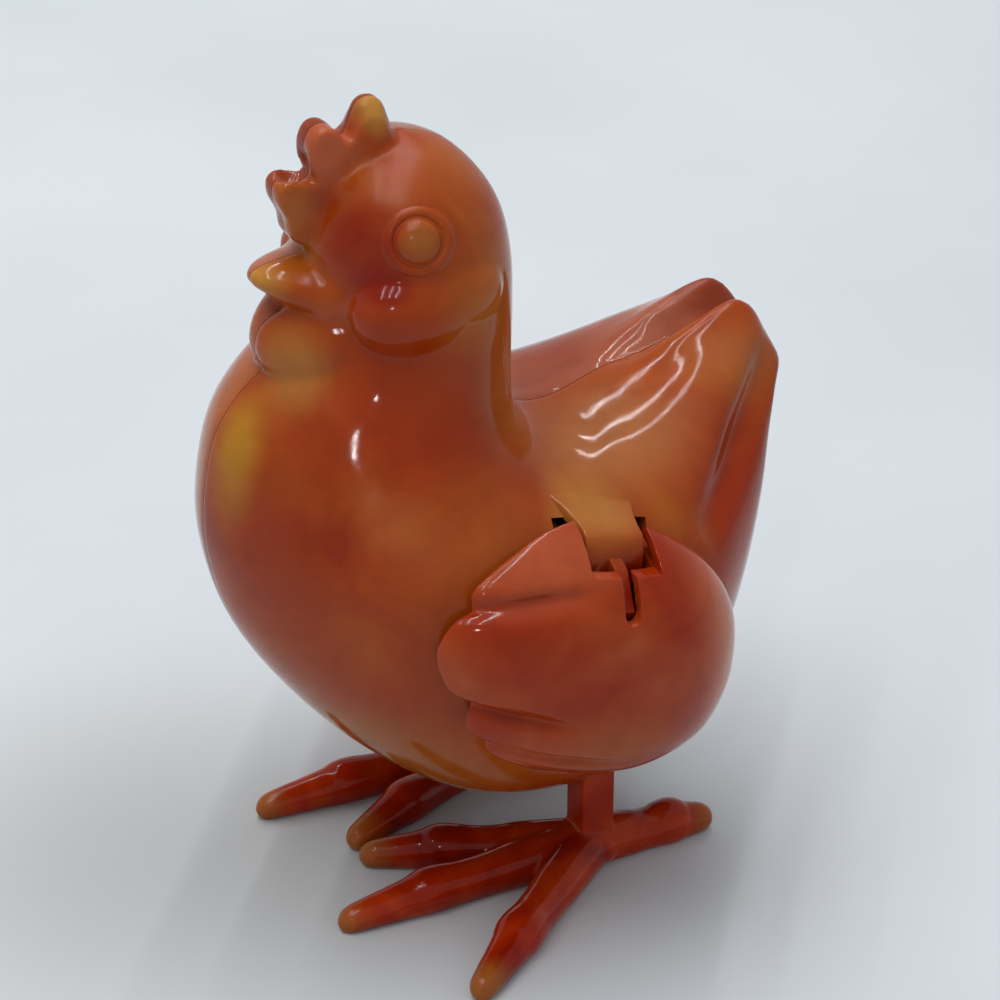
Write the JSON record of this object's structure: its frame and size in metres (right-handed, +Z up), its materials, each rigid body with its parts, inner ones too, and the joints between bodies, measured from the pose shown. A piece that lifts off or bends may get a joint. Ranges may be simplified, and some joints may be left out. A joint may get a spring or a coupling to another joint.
{
  "type": "egg-laying hen toy",
  "caption": "Hollow moulded plastic hen on splayed feet. Pressing the body down swings a gate inside that lets an egg drop; hinged wings cover the loading windows.",
  "frame": {"origin": "on the ground under the middle of the toy's width and length", "axes": "+Z up, -Y the way the hen faces, +X her left side; the seam between the body halves is the plane X = 0"},
  "size_m": [0.066, 0.0688, 0.0958],
  "materials": {
    "orange_body": "glossy marbled orange, orange-brown and yellow plastic",
    "pink_body": "glossy marbled pinkish red plastic",
    "wing_pink": "glossy marbled pinkish red plastic with darker red edges",
    "leg_red": "glossy dark red-orange plastic with ochre toe tips",
    "inner_plastic": "plain tan plastic",
    "egg_white": "off-white plastic",
    "steel": "drawn steel wire"
  },
  "bodies": {
    "legs": {"leg_left": "leg_red", "leg_right": "leg_red", "leg_bridge": "inner_plastic", "leg_pin_left": "steel", "leg_pin_right": "steel", "return_spring": "steel"},
    "body": {"body_shell_left": "orange_body", "body_shell_right": "pink_body", "wing_pin_left": "inner_plastic", "wing_pin_right": "inner_plastic", "spring_beam": "inner_plastic", "egg_hopper": "inner_plastic", "gate_pin": "steel", "egg_1": "egg_white", "egg_2": "egg_white", "egg_3": "egg_white", "egg_4": "egg_white", "egg_5": "egg_white"},
    "wing_left": {"wing_left": "wing_pink"},
    "wing_right": {"wing_right": "wing_pink"},
    "egg_gate": {"egg_gate": "inner_plastic"}
  },
  "joints": [
    {"name": "press", "type": "slide", "parent": "legs", "child": "body", "axis": [0, 0, -1], "range_m": [0, 0.004], "stiffness_N_per_m": 300, "springref_m": -0.004, "deforming": ["return_spring"]},
    {"name": "wing_left_hinge", "type": "hinge", "parent": "body", "child": "wing_left", "pos_m": [0.0186, 0.0027, 0.0484], "axis": [0, -0.9744, 0.225], "range_deg": [0, 45]},
    {"name": "wing_right_hinge", "type": "hinge", "parent": "body", "child": "wing_right", "pos_m": [-0.0186, 0.0027, 0.0484], "axis": [0, 0.9744, -0.225], "range_deg": [0, 45]},
    {"name": "gate_swing", "type": "hinge", "parent": "body", "child": "egg_gate", "pos_m": [0, 0.0122, 0.0252], "axis": [-1, 0, 0], "range_deg": [0, 40]}
  ],
  "couplings": [
    {"joint": "gate_swing", "follows": "press", "rad_per_m": 174.5}
  ]
}
